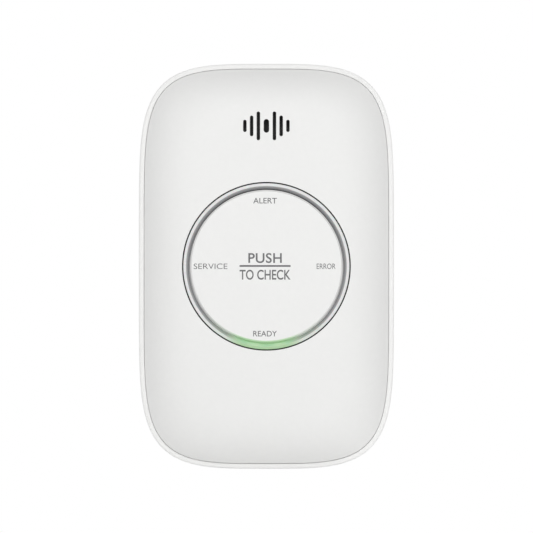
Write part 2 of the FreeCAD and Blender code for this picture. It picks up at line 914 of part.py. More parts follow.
for side, end in four_corners:
    x = side * S.cover_screw_x
    z = end * screw_z
    sink_radius = S.cover_screw_head + S.screw_hole_gap
    hole_radius = S.cover_screw_shank + S.screw_hole_gap
    pockets.append(
        disc("cover_screw_sink", x, -PAST, z, sink_radius, S.cover_screw_seat + PAST)
    )
    pockets.append(
        disc(
            "cover_screw_hole", x, S.cover_screw_seat - PAST, z,
            hole_radius, S.cover_screw_floor + 2 * PAST,
        )
    )
for x, z in board_screws:
    run = S.board_screw_length + S.screw_tip_gap
    pockets.append(
        disc(
            "board_screw_bore", x, S.board_front - run, z,
            S.board_screw_shank + S.screw_bore_gap, run,
        )
    )
rear_open = cut("rear_housing_open", shell, *pockets)
stops = [
    slab(
        "door_stop", side * S.door_stop_x, S.door_level + S.door_thick + S.door_stop_gap,
        bay_top - S.door_stop_root, S.door_stop_length, S.door_stop_thick, S.door_stop_thick,
    )
    for side in (-1, 1)
]
for side in (-1, 0, 1):
    stops.append(
        slab(
            "tray_rib", side * S.tray_rib_x, S.tray_level - S.tray_rib_height, bay_z,
            S.tray_rib_thick, S.tray_rib_height + ROOT, S.tray_rib_length,
        )
    )
rib_bottom = bay_top + S.rib_bay_gap
rib_top = screw_z - S.rib_end_gap
rib_level = S.recess_level + S.recess_floor - ROOT
stops.append(
    slab(
        "middle_rib", 0, rib_level, (rib_bottom + rib_top) / 2,
        S.rib_thick, S.board_level - S.rib_board_gap - rib_level, rib_top - rib_bottom,
    )
)
rear_housing = fuse("rear_housing", rear_open, *stops)

# ---- front cover ----
edge_inset = S.rim_width.value + S.cover_gap.value
outer_crown = Part.makeLoft(crown(0.0), True, False)
cover_solid = outline_block(edge_inset, ledge, S.cover_edge_level.value).fuse(outer_crown)
inner_wires = crown(S.cover_wall.value)
inner_crown = Part.makeLoft(inner_wires, True, False)
inner_level = -inner_wires[0].BoundBox.YMax
steep = math.atan(CROWN_POWER * S.crown_height.value / S.crown_reach.value)
skirt_shrink = S.cover_wall.value * math.sin(steep)
skirt_face = Part.Face(outline(edge_inset, ledge - PAST, skirt_shrink))
skirt_room = skirt_face.extrude(Vector(0, ledge - PAST - inner_level, 0))
cover_outside = feature("cover_outside", cover_solid.removeSplitter())
cover_inside = feature("cover_inside", skirt_room.fuse(inner_crown))

gasket_level = S.board_front + S.sounder_height + S.sounder_lid_thick
mouth_level = gasket_level + S.gasket_thick
kept = [
    disc(
        "ring_collar", 0, flange_level + S.ring_flange_thick + S.ring_seat_gap, 0,
        S.collar_radius, S.case_depth,
    ),
    tube(
        "sound_collar", 0, mouth_level, sound_z,
        S.sounder_mouth_radius + S.gasket_wall, S.sounder_mouth_radius, BOSS_RUN,
    ),
]
for side, end in four_corners:
    kept.append(
        disc(
            "carrier_boss", side * S.ear_offset, carrier_front, end * S.ear_offset,
            S.ear_radius - S.ear_boss_wall, BOSS_RUN,
        )
    )
    kept.append(
        disc(
            "cover_boss_upper", side * S.cover_screw_x, S.ledge_level + S.cover_boss_gap,
            end * screw_z, S.cover_boss_radius, BOSS_RUN,
        )
    )
cover_space = cut("cover_space", cover_inside, *kept)
cover_shell = cut("cover_shell", cover_outside, cover_space)
lower_bosses = [
    disc(
        "cover_boss_lower", side * S.cover_screw_x, S.cover_boss_level, end * screw_z,
        S.cover_boss_radius, S.cover_boss_length + PAST,
    )
    for side, end in four_corners
]
cover_joined = fuse("cover_joined", cover_shell, *lower_bosses)
through = S.case_depth + PAST - mouth_level
cover_cuts = [
    disc("ring_opening", 0, carrier_front, 0, S.ring_opening_radius, BOSS_RUN),
    upright_slot(
        "sound_slot_middle", 0, mouth_level, sound_z,
        S.slot_middle_width, through, S.slot_middle_height,
    ),
]
for side in (-1, 1):
    for number, tall in enumerate((S.slot_tall, S.slot_medium, S.slot_short)):
        offset = S.slot_first + number * S.slot_pitch
        cover_cuts.append(
            upright_slot(
                "sound_slot", side * offset, mouth_level, sound_z, S.slot_width, through, tall,
            )
        )
for side, end in four_corners:
    cover_cuts.append(
        disc(
            "carrier_screw_bore", side * S.ear_offset, carrier_level, end * S.ear_offset,
            S.carrier_screw_shank + S.screw_bore_gap, S.carrier_screw_length + S.screw_tip_gap,
        )
    )
    cover_cuts.append(
        disc(
            "cover_screw_bore", side * S.cover_screw_x, S.cover_screw_seat, end * screw_z,
            S.cover_screw_shank + S.screw_bore_gap, S.cover_screw_length + S.screw_tip_gap,
        )
    )
front_cover = cut("front_cover", cover_joined, *cover_cuts)

# ---- light ring ----
ring_top = S.case_depth - S.ring_drop
flange_top = flange_level + S.ring_flange_thick
ring = turned(
    "ring_turning", 0, 0, 0,
    [
        (S.ring_bore_radius, flange_level),
        (S.ring_flange_radius, flange_level),
        (S.ring_flange_radius, flange_top),
        (S.ring_outer_radius, flange_top),
        (S.ring_outer_radius, ring_top),
        (S.ring_flat_radius, ring_top),
        (S.ring_bore_radius, ring_top - S.ring_slope),
    ],
)
leg_radius = S.ring_bore_radius + S.leg_thick / 2 + S.leg_set_in
leg_level = S.board_front + S.led_height + S.led_gap
legs = []
for x, z in ((1, 0), (-1, 0), (0, 1), (0, -1)):
    wide = S.leg_thick if x else S.leg_width
    tall = S.leg_width if x else S.leg_thick
    legs.append(
        slab(
            "light_leg", x * leg_radius, leg_level, z * leg_radius,
            wide, flange_level + ROOT - leg_level, tall,
        )
    )
light_ring = fuse("light_ring", ring, *legs)

# ---- ring carrier ----
carrier_plate = fuse(
    "carrier_plate",
    disc("carrier_disc", 0, carrier_level, 0, S.collar_radius, S.carrier_thick),
    rounded_slab(
        "carrier_square", 0, carrier_level, 0, 2 * (S.ear_offset + S.ear_radius),
        S.carrier_thick, 2 * (S.ear_offset + S.ear_radius), S.ear_radius,
    ),
)
drill = S.carrier_thick + 2 * PAST
drill_level = carrier_level - PAST
hole_radius = S.post_radius + S.post_hole_gap
carrier_cuts = [disc("carrier_hole", 0, drill_level, 0, hole_radius, drill)]
for x, z in ((1, 0), (-1, 0), (0, 1), (0, -1)):
    wide = (S.leg_thick if x else S.leg_width) + 2 * S.leg_gap
    tall = (S.leg_width if x else S.leg_thick) + 2 * S.leg_gap
    carrier_cuts.append(
        slab(
            "leg_hole", x * leg_radius, drill_level, z * leg_radius,
            wide, drill, tall,
        )
    )
for side, end in four_corners:
    carrier_cuts.append(
        disc(
            "ear_hole", side * S.ear_offset, drill_level, end * S.ear_offset,
            S.carrier_screw_shank + S.screw_hole_gap, drill,
        )
    )
catch_places = [(-1, 0), (1, 0), (0, 1)]
for x, z in catch_places:
    reach = S.catch_radius + S.catch_barb / 2
    deep = S.catch_thick + S.catch_barb
    wide = (deep if x else S.catch_width) + 2 * S.catch_gap
    tall = (S.catch_width if x else deep) + 2 * S.catch_gap
    carrier_cuts.append(
        slab("catch_hole", x * reach, drill_level, z * reach, wide, drill, tall)
    )
carrier_open = cut("carrier_open", carrier_plate, *carrier_cuts)
spring_places = []
for turn in SPRING_TURNS:
    share_x = math.cos(math.radians(turn))
    share_z = math.sin(math.radians(turn))
    spring_places.append((S.spring_orbit * share_x, S.spring_orbit * share_z))
spigots = [
    disc(
        "spring_spigot", x, carrier_front - ROOT, z,
        S.spring_radius - S.spring_wire - S.spigot_gap, S.spigot_height + ROOT,
    )
    for x, z in spring_places
]
ring_carrier = fuse("ring_carrier", carrier_open, *spigots)

# ---- test button ----
button_top = S.case_depth - S.button_drop
under = button_top - S.button_face
skirt_low = button_top - S.button_skirt
cap = turned(
    "button_cap", 0, 0, 0,
    [
        (0, under),
        (S.button_radius - S.button_skirt_wall, under),
        (S.button_radius - S.button_skirt_wall, skirt_low),
        (S.button_radius, skirt_low),
        (S.button_radius, button_top),
        (0, button_top),
    ],
)
cap = soften(cap, S.button_rounding, S.button_radius, button_top)
plunger_top = S.board_front + S.switch_height + S.plunger_height
post_low = plunger_top + S.post_gap
post = disc("button_post", 0, post_low, 0, S.post_radius, under + ROOT - post_low)
button_pieces = [cap, post]
rib_low = carrier_front + S.button_travel + S.post_rib_play
for x, z in ((1, 0), (0, 1)):
    wide = 2 * S.post_rib_half if x else S.post_rib_thick
    tall = 2 * S.post_rib_half if z else S.post_rib_thick
    button_pieces.append(slab("post_rib", 0, rib_low, 0, wide, under + ROOT - rib_low, tall))
barb_top = carrier_level - S.catch_play
barb_low = barb_top - S.catch_reach
for x, z in catch_places:
    wide = S.catch_thick if x else S.catch_width
    tall = S.catch_width if x else S.catch_thick
    button_pieces.append(
        slab(
            "catch_leg", x * S.catch_radius, barb_low, z * S.catch_radius,
            wide, under + ROOT - barb_low, tall,
        )
    )
    reach = S.catch_radius + S.catch_barb / 2
    wide = S.catch_thick + S.catch_barb if x else S.catch_width
    tall = S.catch_width if x else S.catch_thick + S.catch_barb
    button_pieces.append(
        slab(
            "catch_barb", x * reach, barb_low, z * reach,
            wide, barb_top - barb_low, tall,
        )
    )
test_button = fuse("test_button", *button_pieces)

# ---- return springs ----
spring_room = under - carrier_front
button_springs = group(
    "button_springs",
    *[
        coil(
            "return_spring", x, carrier_front + S.spring_wire + S.spring_seat_gap, z,
            S.spring_radius, S.spring_wire,
            spring_room - 2 * (S.spring_wire + S.spring_seat_gap), BUTTON_COIL_HALVES, FORWARD,
        )
        for x, z in spring_places
    ],
)

# ---- main board ----
board_blank = feature(
    "board_blank",
    outline_block(S.board_inset.value, S.board_level.value, S.board_front.value),
)
board_cuts = []
board_drill = S.board_level - PAST
for x, z in board_screws:
    hole_radius = S.board_screw_shank + S.screw_hole_gap
    board_cuts.append(disc("board_screw_hole", x, board_drill, z, hole_radius, DRILL))
for side, end in four_corners:
    x = side * S.cover_screw_x
    notch = S.cover_boss_radius + S.board_notch_gap
    board_cuts.append(disc("board_notch", x, board_drill, end * screw_z, notch, DRILL))
    edge_z = screw_z + S.cover_screw_margin / 2
    board_cuts.append(
        slab(
            "board_notch", x, board_drill, end * edge_z,
            2 * notch, DRILL, S.cover_screw_margin,
        )
    )
for side in (-1, 1):
    board_cuts.append(
        slab(
            "tab_slot", side * (S.bay_half_width - S.contact_thick / 2), board_drill,
            bay_z + side * S.cell_pitch / 2, S.contact_thick + 2 * S.tab_end_gap, DRILL,
            S.contact_tab_width + 2 * S.tab_end_gap,
        )
    )
for x, z in SENSOR_PINS:
    hole_radius = S.sensor_pin_radius + S.sensor_pin_gap
    board_cuts.append(disc("pin_hole", x, board_drill, sensor_z + z, hole_radius, DRILL))
main_board = cut("main_board", board_blank, *board_cuts)

# ---- lamps under the four light legs ----
lamps = []
for name, x, z in (
    ("led_alarm", 0, 1),
    ("led_power", 0, -1),
    ("led_fault", 1, 0),
    ("led_service", -1, 0),
):
    base = slab(
        f"{name}_base", x * leg_radius, S.board_front, z * leg_radius,
        S.led_length, S.led_base, S.led_width,
    )
    lens = cone(
        f"{name}_lens", x * leg_radius, S.board_front + S.led_base, z * leg_radius,
        S.led_lens_foot, S.led_lens_tip, S.led_height - S.led_base,
    )
    lamps.append(fuse(name, base, lens))

# ---- push switch ----
switch_block = slab(
    "switch_block", 0, S.board_front, 0, S.switch_size, S.switch_height, S.switch_size,
)
switch_bore = disc(
    "switch_bore", 0, S.board_front + S.switch_floor, 0,
    S.plunger_radius + S.plunger_clearance, S.switch_height,
)
switch_feet = [
    slab(
        "switch_foot", side * (S.switch_size + S.switch_foot_length) / 2,
        S.board_front, end * S.switch_foot_z,
        S.switch_foot_length + ROOT, S.switch_foot_thick, S.switch_foot_width,
    )
    for side, end in four_corners
]
switch_body = fuse("switch_body", cut("switch_case", switch_block, switch_bore), *switch_feet)
plunger_low = S.board_front + S.switch_floor + S.button_travel + S.plunger_play
switch_plunger = turned(
    "switch_plunger", 0, 0, 0,
    [
        (0, plunger_low),
        (S.plunger_radius, plunger_low),
        (S.plunger_radius, plunger_top - S.plunger_chamfer),
        (S.plunger_radius - S.plunger_chamfer, plunger_top),
        (0, plunger_top),
    ],
)

# ---- other parts on the board ----
chip = slab(
    "chip_case", S.chip_x, S.board_front + S.chip_lift, S.chip_z,
    S.chip_width, S.chip_thick, S.chip_length,
)
leads = []
for side in (-1, 1):
    for row in range(CHIP_ROWS):
        leads.append(
            slab(
                "chip_lead", S.chip_x + side * (S.chip_width + S.lead_length / 2) / 2,
                S.board_front, S.chip_z + S.lead_pitch * (row - (CHIP_ROWS - 1) / 2),
                S.lead_length, S.lead_thick, S.lead_width,
            )
        )
microcontroller = fuse("microcontroller", chip, *leads)
boost_coil = turned(
    "boost_coil", S.coil_x, S.board_front, S.coil_z,
    [
        (0, 0), (S.coil_radius, 0), (S.coil_radius, S.coil_flange), (S.coil_neck, S.coil_flange),
        (S.coil_neck, S.coil_height - S.coil_flange),
        (S.coil_radius, S.coil_height - S.coil_flange), (S.coil_radius, S.coil_height),
        (0, S.coil_height),
    ],
)
cans = []
for x, z, radius, height in CANS:
    cans.append(
        turned(
            "capacitor_can", x, S.board_front, z,
            [
                (0, 0), (radius + S.can_foot_wall, 0),
                (radius + S.can_foot_wall, S.can_foot_height), (radius, S.can_foot_height),
                (radius, height - S.can_chamfer), (radius - S.can_chamfer, height), (0, height),
            ],
        )
    )
capacitors = group("capacitors", *cans)
chip_parts = group(
    "chip_parts",
    *[
        slab("chip_part", x, S.board_front, z, wide, S.chip_part_height, tall)
        for x, z, wide, tall in SMALL_PARTS
    ],
)

# ---- sounder ----
cup_top = S.sounder_height
lid_top = cup_top + S.sounder_lid_thick
seat = S.piezo_seat
cup_bore = S.piezo_radius + S.piezo_gap
ledge_radius = S.piezo_radius - S.sounder_ledge
lid_ring = S.piezo_radius - S.piezo_gap
pin_x = S.piezo_radius - S.piezo_pin_set_in
pin_hole = S.piezo_pin_radius + S.piezo_pin_gap
ceramic_level = S.board_front + seat - S.ceramic_thick
sounder_cup = cut(
    "sounder_cup",
    turned(
        "cup_turning", 0, S.board_front, sound_z,
        [
            (0, 0), (S.sounder_radius, 0), (S.sounder_radius, cup_top), (cup_bore, cup_top),
            (cup_bore, seat), (ledge_radius, seat), (ledge_radius, S.sounder_floor),
            (0, S.sounder_floor),
        ],
    ),
    disc("cup_hole_middle", 0, S.board_front - PAST, sound_z, pin_hole, DRILL),
    disc("cup_hole_side", pin_x, S.board_front - PAST, sound_z, pin_hole, DRILL),
)
piezo_disc = disc("piezo_disc", 0, S.board_front + seat, sound_z, S.piezo_radius, S.piezo_thick)
piezo_ceramic = disc(
    "piezo_ceramic", 0, ceramic_level, sound_z,
    S.piezo_radius - S.ceramic_set_in, S.ceramic_thick,
)
piezo_contacts = group(
    "piezo_contacts",
    disc(
        "contact_middle", 0, S.board_front, sound_z,
        S.piezo_pin_radius, seat - S.ceramic_thick,
    ),
    disc("contact_side", pin_x, S.board_front, sound_z, S.piezo_pin_radius, seat),
)
sounder_lid = turned(
    "sounder_lid", 0, S.board_front, sound_z,
    [
        (S.sounder_lid_hole, cup_top), (ledge_radius, cup_top),
        (ledge_radius, seat + S.piezo_thick), (lid_ring, seat + S.piezo_thick),
        (lid_ring, cup_top), (S.sounder_radius, cup_top), (S.sounder_radius, lid_top),
        (S.sounder_lid_hole, lid_top),
    ],
)
sounder_gasket = tube(
    "sounder_gasket", 0, gasket_level, sound_z,
    S.sounder_mouth_radius + S.gasket_wall, S.sounder_mouth_radius, S.gasket_thick,
)
sounder_mesh = disc(
    "sounder_mesh", 0, mouth_level + S.mesh_gap, sound_z, S.sounder_mouth_radius, S.mesh_thick,
)

# ---- gas sensor ----
sensor_foot = S.board_front + S.sensor_standoff
shoulder = S.sensor_height - S.sensor_chamfer
cap_radius = S.sensor_radius - S.sensor_cap_set_in
cap_top = S.sensor_height + S.sensor_cap_height
sensor_body = turned(
    "sensor_body", 0, sensor_foot, sensor_z,
    [
        (0, 0), (S.sensor_radius, 0), (S.sensor_radius, shoulder),
        (S.sensor_radius - S.sensor_chamfer, S.sensor_height), (0, S.sensor_height),
    ],
)
sensor_cap = turned(
    "sensor_cap", 0, sensor_foot, sensor_z,
    [
        (S.sensor_hole, S.sensor_height), (cap_radius, S.sensor_height),
        (cap_radius, cap_top - S.sensor_cap_chamfer),
        (cap_radius - S.sensor_cap_chamfer, cap_top), (S.sensor_hole, cap_top),
    ],
)
sensor_filter = disc(
    "sensor_filter", 0, sensor_foot + S.sensor_height, sensor_z,
    S.sensor_hole, S.sensor_filter_thick,
)
sensor_pins = group(
    "sensor_pins",
    *[
        disc(
            "sensor_pin", x, S.board_level - S.sensor_pin_stub, sensor_z + z,
            S.sensor_pin_radius, S.sensor_pin_stub + S.board_thick + S.sensor_standoff,
        )
        for x, z in SENSOR_PINS
    ],
)

# ---- cells and contacts ----
upper_z = bay_z + S.cell_pitch / 2
lower_z = bay_z - S.cell_pitch / 2
base_thick = S.cell_base_thick
base_radius = S.cell_radius - S.cell_base_set_in
can_length = S.cell_length - S.nub_length - base_thick
left_end = -S.cell_length / 2
battery_upper = rod(
    "battery_upper", left_end + base_thick, S.cell_level, upper_z, S.cell_radius, can_length,
)
battery_lower = rod(
    "battery_lower", left_end + S.nub_length, S.cell_level, lower_z, S.cell_radius, can_length,
)
right_nub = S.cell_length / 2 - S.nub_length
battery_nubs = group(
    "battery_nubs",
    rod("nub_upper", right_nub, S.cell_level, upper_z, S.nub_radius, S.nub_length),
    rod("nub_lower", left_end, S.cell_level, lower_z, S.nub_radius, S.nub_length),
)
battery_bases = group(
    "battery_bases",
    rod("base_upper", left_end, S.cell_level, upper_z, base_radius, base_thick),
    rod(
        "base_lower", S.cell_length / 2 - base_thick, S.cell_level, lower_z,
        base_radius, base_thick,
    ),
)
plate_face = S.bay_half_width - S.contact_thick
contact_x = S.bay_half_width - S.contact_thick / 2
bump_length = plate_face - S.cell_length / 2
tab_low = S.cell_level + S.contact_tab_start
tab_reach = S.board_front + S.contact_tab_stub - tab_low
half_contact = S.contact_width / 2


def contact_plate(name, side, z, tall):
    return slab(
        name, side * contact_x, S.cell_level - half_contact, z,
        S.contact_thick, S.contact_width, tall,
    )


def contact_tab(name, side, z):
    return slab(name, side * contact_x, tab_low, z, S.contact_thick, tab_reach, S.contact_tab_width)


contact_link = fuse(
    "contact_link",
    contact_plate("link_plate", -1, bay_z, S.cell_pitch + S.contact_width),
    rod("link_bump", -plate_face, S.cell_level, lower_z, S.contact_bump, bump_length),
    contact_tab("link_tab", -1, lower_z),
)
contact_positive = fuse(
    "contact_positive",
    contact_plate("positive_plate", 1, upper_z, S.contact_width),
    rod("positive_bump", S.cell_length / 2, S.cell_level, upper_z, S.contact_bump, bump_length),
    contact_tab("positive_tab", 1, upper_z),
)
contact_negative = contact_plate("contact_negative", 1, lower_z, S.contact_width)
coil_start = S.contact_wire + S.spring_seat_gap
coil_run = bump_length - 2 * coil_start
battery_springs = group(
    "battery_springs",
    coil(
        "spring_upper", coil_start - plate_face, S.cell_level, upper_z,
        S.contact_coil_radius, S.contact_wire, coil_run, CELL_COIL_HALVES, ALONG_X,
    ),
    coil(
        "spring_lower", S.cell_length / 2 + coil_start, S.cell_level, lower_z,
        S.contact_coil_radius, S.contact_wire, coil_run, CELL_COIL_HALVES, ALONG_X,
    ),
)

# ---- battery door ----
panel_bottom = bay_bottom + 2 * S.door_gap
panel_top = bay_top - S.door_gap
panel_mid = (panel_bottom + panel_top) / 2
panel = slab(
    "door_panel", 0, S.door_level, panel_mid,
    2 * (S.bay_half_width - S.door_gap), S.door_thick, panel_top - panel_bottom,
)
nail_slot = slab(
    "door_nail_slot", 0, S.door_level - PAST, panel_top - S.nail_slot_drop,
    S.snap_width, S.nail_slot_depth + PAST, S.nail_slot_height,
)
door_pieces = [
    cut("door_slotted", panel, nail_slot),
    slab(
        "snap_leg", 0, S.door_level + ROOT, panel_top - S.snap_leg_thick,
        S.snap_width, S.snap_leg_length + ROOT, S.snap_leg_thick,
    ),
    slab(
        "snap_nose", 0, S.door_level + S.snap_nose_level,
        panel_top + S.door_gap - S.snap_leg_thick,
        S.snap_width, S.snap_nose_height, S.snap_nose_depth,
    ),
]
for side in (-1, 1):
    x = side * S.hinge_knuckle_x
    start = x - S.hinge_knuckle_width / 2
    door_pieces.append(
        rod(
            "door_barrel", start, S.hinge_level, hinge_z,
            S.hinge_barrel_radius, S.hinge_knuckle_width,
        )
    )
    door_pieces.append(
        slab(
            "door_arm", x, S.door_level, (hinge_z + panel_bottom + S.hinge_arm_lap) / 2,
            S.hinge_knuckle_width, S.door_thick, panel_bottom + S.hinge_arm_lap - hinge_z,
        )
    )
    door_pieces.append(
        rod(
            "door_pin", start - S.hinge_pin_reach, S.hinge_level, hinge_z,
            S.hinge_pin_radius, S.hinge_knuckle_width + 2 * S.hinge_pin_reach,
        )
    )
battery_door = fuse("battery_door", *door_pieces)
door_inner = S.door_level + S.door_thick
door_foam = slab(
    "door_foam", 0, door_inner, bay_z, S.foam_length, S.foam_thick, S.foam_height,
)
rating_label = slab(
    "rating_label", 0, S.door_level - S.label_thick, bay_z - S.label_drop,
    S.label_width, S.label_thick, S.label_height,
)

# ---- screws ----
cover_screws = group(
    "cover_screws",
    *[
        screw(
            "cover_screw", side * S.cover_screw_x, S.cover_screw_seat, end * screw_z,
            S.cover_screw_head, S.cover_screw_head_height,
            S.cover_screw_shank, S.cover_screw_length, 1,
        )
        for side, end in four_corners
    ],
)
carrier_screws = group(
    "carrier_screws",
    *[
        screw(
            "carrier_screw", side * S.ear_offset, carrier_level, end * S.ear_offset,
            S.carrier_screw_head, S.carrier_screw_head_height,
            S.carrier_screw_shank, S.carrier_screw_length, 1,
        )
        for side, end in four_corners
    ],
)
board_screw_group = group(
    "board_screws",
    *[
        screw(
            "board_screw", x, S.board_front, z,
            S.board_screw_head, S.board_screw_head_height,
            S.board_screw_shank, S.board_screw_length, -1,
        )
        for x, z in board_screws
    ],
)

NODES = [
    wall_bracket, rear_housing, front_cover, light_ring, ring_carrier, test_button,
    button_springs, main_board, *lamps, switch_body, switch_plunger, microcontroller,
    boost_coil, capacitors, chip_parts, sounder_cup, piezo_disc, piezo_ceramic,
    piezo_contacts, sounder_lid, sounder_gasket, sounder_mesh, sensor_body, sensor_cap,
    sensor_filter, sensor_pins, battery_upper, battery_lower, battery_nubs, battery_bases,
    contact_link, contact_positive, contact_negative, battery_springs, battery_door,
    door_foam, rating_label, cover_screws, carrier_screws, board_screw_group,
]

doc.recompute()
for thing in doc.Objects:
    if "Invalid" in thing.State or "Error" in thing.State:
        raise RuntimeError(f"{thing.Label} did not build: {thing.State}")
if len({node.Label for node in NODES}) != len(NODES):
    raise RuntimeError("two nodes share a name")

os.makedirs("parts", exist_ok=True)
for node in NODES:
    shape = node.Shape
    if shape.isNull() or not shape.isValid():
        raise RuntimeError(f"{node.Label} has no valid shape")
    shape.exportStep(f"parts/{node.Label}.step")
    print(node.Label, len(shape.Solids), round(shape.Volume, 1))
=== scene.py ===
import json
import math

import bmesh
import bpy
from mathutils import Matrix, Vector


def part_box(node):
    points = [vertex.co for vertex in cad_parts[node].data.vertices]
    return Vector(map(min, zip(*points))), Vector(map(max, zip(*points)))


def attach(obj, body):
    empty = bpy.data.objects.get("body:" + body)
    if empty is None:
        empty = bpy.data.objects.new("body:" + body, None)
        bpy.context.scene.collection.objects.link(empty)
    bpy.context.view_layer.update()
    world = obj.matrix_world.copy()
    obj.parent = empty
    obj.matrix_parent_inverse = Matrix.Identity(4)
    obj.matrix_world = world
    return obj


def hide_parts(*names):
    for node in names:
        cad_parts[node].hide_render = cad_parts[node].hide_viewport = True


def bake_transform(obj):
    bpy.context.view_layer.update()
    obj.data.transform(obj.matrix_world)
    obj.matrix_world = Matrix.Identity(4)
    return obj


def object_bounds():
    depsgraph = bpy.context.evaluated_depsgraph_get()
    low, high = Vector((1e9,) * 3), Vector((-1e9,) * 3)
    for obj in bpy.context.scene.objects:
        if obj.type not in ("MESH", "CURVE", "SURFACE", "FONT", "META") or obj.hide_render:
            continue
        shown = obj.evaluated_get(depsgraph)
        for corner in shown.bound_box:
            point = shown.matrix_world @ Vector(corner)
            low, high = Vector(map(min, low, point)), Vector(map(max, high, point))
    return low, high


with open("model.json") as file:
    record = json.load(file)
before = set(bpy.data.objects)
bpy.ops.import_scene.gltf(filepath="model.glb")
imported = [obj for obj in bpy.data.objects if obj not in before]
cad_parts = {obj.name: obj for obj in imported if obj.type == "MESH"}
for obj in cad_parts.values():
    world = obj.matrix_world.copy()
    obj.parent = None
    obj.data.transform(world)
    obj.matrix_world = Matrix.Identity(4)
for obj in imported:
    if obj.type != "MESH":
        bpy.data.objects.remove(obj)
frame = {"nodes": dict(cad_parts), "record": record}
cad_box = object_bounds()

scene = bpy.context.scene
nodes = frame["nodes"]
MM = 0.001

# ---- places read from the frame ----

ring_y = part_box("light_ring")[0].y
button_low, button_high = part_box("test_button")
cell_low, cell_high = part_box("battery_upper")
lower_cell_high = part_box("battery_lower")[1]
label_low, label_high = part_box("rating_label")
spring_low, spring_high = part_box("button_springs")
bay_z = (cell_low.z + lower_cell_high.z) / 2
face_y = button_low.y
cap_radius = button_high.x

# bands around the button's axis, by their distance from it

CAP_GAP = 0.3 * MM
# on the cap's edge the lamp's green is painted on as painted light, in this band
edge_from, edge_to = cap_radius - 0.7 * MM, cap_radius - 0.45 * MM
# the cap's rounded edge carries a band of painted shade centred here
edge_shade_radius = cap_radius - 0.35 * MM
EDGE_SHADE_REACH = 0.22 * MM
lip_middle = cap_radius + CAP_GAP / 2
bore_radius = cap_radius + CAP_GAP
# the ring's inner slope, which carries painted shade, runs from the bore out to here
slope_end = bore_radius + 0.65 * MM
band_from, band_to = bore_radius + 0.67 * MM, bore_radius + 1.01 * MM
# from here outwards the ring's colour is painted shadow for the gap around it
gap_shadow_from, gap_shadow_to = bore_radius + 1.65 * MM, bore_radius + 1.69 * MM


# ---- node trees ----

class Shader:
    """A node tree being built around one Principled surface."""

    def __init__(self, name, colour, roughness, metallic=0.0, specular=0.35):
        self.material = bpy.data.materials.new(name)
        self.material.use_nodes = True
        self.tree = self.material.node_tree
        self.base = self.tree.nodes["Principled BSDF"]
        self.base.inputs["Base Color"].default_value = (*colour, 1)
        self.base.inputs["Roughness"].default_value = roughness
        self.base.inputs["Metallic"].default_value = metallic
        self.base.inputs["Specular IOR Level"].default_value = specular
        self.colour = colour
        self.roughness = roughness
        self.place = self.add("ShaderNodeTexCoord").outputs["Object"]
        self.normal = None

    def add(self, kind, **sockets):
        node = self.tree.nodes.new(kind)
        for name, value in sockets.items():
            self.feed(node.inputs[name], value)
        return node

    def feed(self, socket, value):
        if isinstance(value, bpy.types.NodeSocket):
            self.tree.links.new(value, socket)
        elif isinstance(value, tuple):
            socket.default_value = (*value, 1)
        else:
            socket.default_value = value

    def stretched(self, stretch):
        mapping = self.add("ShaderNodeMapping", Vector=self.place)
        mapping.inputs["Scale"].default_value = stretch
        return mapping.outputs["Vector"]

    def noise(self, scale, detail=2.0, stretch=None):
        place = self.stretched(stretch) if stretch else self.place
        node = self.add("ShaderNodeTexNoise", Vector=place, Scale=scale, Detail=detail)
        return node.outputs["Fac"]

    def math(self, operation, first, second=0.0, third=0.0):
        node = self.add("ShaderNodeMath")
        node.operation = operation
        for socket, value in zip(node.inputs, (first, second, third)):
            self.feed(socket, value)
        return node.outputs[0]

    def span(self, value, low, high, to_low=0.0, to_high=1.0, smooth=False):
        node = self.add("ShaderNodeMapRange")
        node.interpolation_type = "SMOOTHSTEP" if smooth else "LINEAR"
        for socket, number in zip(node.inputs, (value, low, high, to_low, to_high)):
            self.feed(socket, number)
        return node.outputs["Result"]

    def mix(self, share, first, second):
        node = self.add("ShaderNodeMix")
        node.data_type = "RGBA"
        for socket, value in ((0, share), (6, first), (7, second)):
            self.feed(node.inputs[socket], value)
        return node.outputs[2]

    def axes(self):
        """Object X, Y and Z as three sockets."""
        split = self.add("ShaderNodeSeparateXYZ", Vector=self.place)
        return split.outputs["X"], split.outputs["Y"], split.outputs["Z"]

    def paint(self, colour):
        self.feed(self.base.inputs["Base Color"], colour)

    def clouded(self, amount, scale, colour=None):
        """A colour with gentle light and dark patches."""
        colour = colour or self.colour
        dark = tuple(c * (1 - amount) for c in colour)
        light = tuple(min(1.0, c * (1 + amount)) for c in colour)
        return self.mix(self.span(self.noise(scale, 3.0), 0.3, 0.7), dark, light)

    def vary_gloss(self, amount, scale):
        low = max(0.02, self.roughness - amount)
        high = min(1.0, self.roughness + amount)
        rough = self.span(self.noise(scale, 3.0), 0.3, 0.7, low, high)
        self.feed(self.base.inputs["Roughness"], rough)

    def soften(self, radius, edge_darkening):
        """Round the look of sharp edges, and darken the colour there a little, in patches."""
        edge = self.add("ShaderNodeBevel", Radius=radius)
        edge.samples = 6
        self.normal = edge.outputs["Normal"]
        flat = self.add("ShaderNodeNewGeometry").outputs["Normal"]
        lean = self.tree.nodes.new("ShaderNodeVectorMath")
        lean.operation = "DOT_PRODUCT"
        self.tree.links.new(self.normal, lean.inputs[0])
        self.tree.links.new(flat, lean.inputs[1])
        dark_edges = self.span(lean.outputs["Value"], 0.80, 0.99, edge_darkening, 0.0)
        return self.math("MULTIPLY", dark_edges, self.span(self.noise(260.0, 4.0), 0.35, 0.65))

    def bump(self, height, distance):
        node = self.add("ShaderNodeBump", Height=height)
        node.inputs["Distance"].default_value = distance
        if self.normal:
            self.feed(node.inputs["Normal"], self.normal)
        self.feed(self.base.inputs["Normal"], node.outputs["Normal"])


# ---- materials ----

